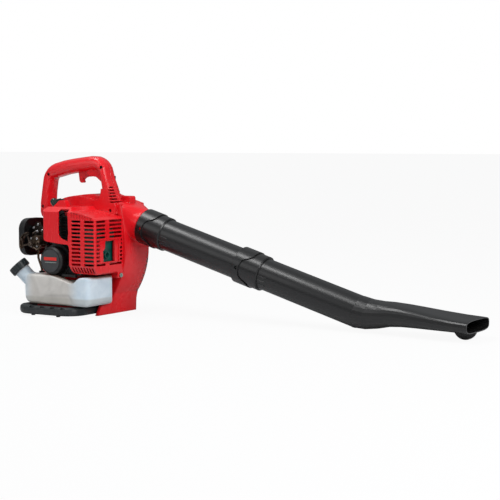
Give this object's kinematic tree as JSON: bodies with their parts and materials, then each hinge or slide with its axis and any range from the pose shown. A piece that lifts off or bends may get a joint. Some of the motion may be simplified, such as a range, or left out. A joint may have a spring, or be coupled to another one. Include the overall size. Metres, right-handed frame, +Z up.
{
  "type": "handheld leaf blower",
  "caption": "Handheld petrol leaf blower: top handle, side engine, scroll fan casing, milky tank, tubular skid and a bayonet tube with a flat nozzle.",
  "frame": {"origin": "on the ground under the crank axis, in the mid-plane of the fan casing and the air tubes", "axes": "+X the way the air leaves, +Y away from the engine, +Z up"},
  "size_m": [1.083, 0.222, 0.355],
  "materials": {
    "red_plastic": "glossy moulded plastic",
    "black_plastic": "satin moulded plastic",
    "tube_plastic": "semi-gloss moulded plastic",
    "dark_grey_plastic": "satin moulded plastic",
    "milky_plastic": "translucent blow-moulded polyethylene",
    "steel": "plated steel",
    "aluminium": "die-cast aluminium",
    "cast_alloy": "die-cast alloy, stained",
    "rubber": "matte rubber",
    "foam": "open-cell foam",
    "bulb_rubber": "translucent rubber",
    "hose_plastic": "clear brown fuel hose"
  },
  "bodies": {
    "housing": {"volute_case": "red_plastic", "volute_cover": "red_plastic", "intake_guard": "black_plastic", "guard_screws": "steel", "case_screws": "steel", "connecting_rod": "steel", "crankpin": "steel", "piston": "aluminium", "piston_pin": "steel", "crank_bearings": "steel", "oil_seals": "rubber", "crankcase": "aluminium", "cylinder": "aluminium", "muffler": "steel", "muffler_gasket": "black_plastic", "spark_plug": "steel", "plug_cap": "rubber", "ht_lead": "rubber", "ignition_coil": "black_plastic", "engine_cover": "red_plastic", "cover_screws": "steel", "starter_housing": "black_plastic", "starter_badge": "black_plastic", "recoil_spring": "steel", "intake_insulator": "black_plastic", "carburetor": "cast_alloy", "air_cleaner_case": "black_plastic", "filter_element": "foam", "fuel_tank": "milky_plastic", "fuel_line": "hose_plastic", "fuel_grommet": "rubber", "skid": "dark_grey_plastic", "skid_pads": "rubber", "skid_screws": "steel", "handle_left": "red_plastic", "handle_right": "red_plastic", "handle_screws": "steel", "trigger_pin": "steel", "trigger_spring": "steel", "throttle_cable": "black_plastic"},
    "rotor": {"crankshaft": "steel", "flywheel": "aluminium", "fan_impeller": "dark_grey_plastic", "fan_nut": "steel"},
    "starter_drum": {"starter_pulley": "black_plastic"},
    "starter_pull": {"starter_grip": "black_plastic", "starter_rope": "black_plastic"},
    "throttle_trigger": {"trigger": "red_plastic"},
    "carburetor_cam": {"throttle_cam": "aluminium"},
    "primer": {"primer_bulb": "bulb_rubber"},
    "choke": {"choke_lever": "black_plastic"},
    "cap_thread": {"fuel_cap_seal": "rubber"},
    "filler_cap": {"fuel_cap": "dark_grey_plastic"},
    "cleaner_lid": {"air_cleaner_cover": "black_plastic"},
    "cleaner_fastener": {"cleaner_knob": "black_plastic"},
    "ignition_switch": {"stop_switch": "black_plastic"},
    "first_tube": {"blower_tube": "tube_plastic"},
    "nozzle_tube": {"flat_nozzle": "tube_plastic"}
  },
  "joints": [
    {"name": "rotor_spin", "type": "hinge", "parent": "housing", "child": "rotor", "pos_m": [0, -0.05, 0.124], "axis": [0, 1, 0], "continuous": true},
    {"name": "starter_pull_out", "type": "slide", "parent": "housing", "child": "starter_pull", "axis": [0, -1, 0], "range_m": [0, 0.6], "stiffness_N_per_m": 12, "springref_m": -0.25},
    {"name": "starter_drum_turn", "type": "hinge", "parent": "housing", "child": "starter_drum", "pos_m": [0, -0.13, 0.124], "axis": [0, -1, 0], "range_deg": [0, 1662]},
    {"name": "trigger_squeeze", "type": "hinge", "parent": "housing", "child": "throttle_trigger", "pos_m": [0.034, -0.031, 0.318], "axis": [0, 1, 0], "range_deg": [0, 16], "stiffness_Nm_per_rad": 0.15, "springref_deg": -34.38},
    {"name": "cam_turn", "type": "hinge", "parent": "housing", "child": "carburetor_cam", "pos_m": [-0.066, -0.088, 0.19], "axis": [0, 0, 1], "range_deg": [0, 49]},
    {"name": "primer_press", "type": "slide", "parent": "housing", "child": "primer", "axis": [0, 0, 1], "range_m": [0, 0.004], "stiffness_N_per_m": 300, "springref_m": -0.001, "deforming": ["primer_bulb"]},
    {"name": "choke_flip", "type": "hinge", "parent": "housing", "child": "choke", "pos_m": [-0.07, -0.134, 0.158], "axis": [0, 1, 0], "range_deg": [0, 60]},
    {"name": "cap_lift", "type": "slide", "parent": "housing", "child": "cap_thread", "axis": [-0.6008, -0.3061, 0.7385], "range_m": [0, 0.0141]},
    {"name": "cap_turn", "type": "hinge", "parent": "cap_thread", "child": "filler_cap", "pos_m": [-0.11116, -0.12897, 0.10592], "axis": [-0.6008, -0.3061, 0.7385], "range_deg": [0, 1260]},
    {"name": "cleaner_lid_off", "type": "slide", "parent": "housing", "child": "cleaner_lid", "axis": [-1, 0, 0], "range_m": [0, 0.04]},
    {"name": "cleaner_knob_turn", "type": "hinge", "parent": "cleaner_lid", "child": "cleaner_fastener", "pos_m": [-0.1115, -0.091, 0.17175], "axis": [-1, 0, 0], "continuous": true},
    {"name": "stop_switch_rock", "type": "hinge", "parent": "housing", "child": "ignition_switch", "pos_m": [0.071, -0.014, 0.3], "axis": [-1, 0, 0], "range_deg": [0, 14]},
    {"name": "tube_twist", "type": "hinge", "parent": "housing", "child": "first_tube", "pos_m": [0.16343, 0, 0.19505], "axis": [-0.9593, 0, 0.2823], "range_deg": [0, 25]},
    {"name": "nozzle_twist", "type": "hinge", "parent": "first_tube", "child": "nozzle_tube", "pos_m": [0.41957, 0, 0.11966], "axis": [-0.9593, 0, 0.2823], "range_deg": [0, 25]}
  ],
  "couplings": [
    {"joint": "starter_drum_turn", "follows": "starter_pull_out", "rad_per_m": 48.309},
    {"joint": "cam_turn", "follows": "trigger_squeeze", "ratio": 3},
    {"joint": "cap_lift", "follows": "cap_turn", "m_per_rad": 0.00063662}
  ]
}
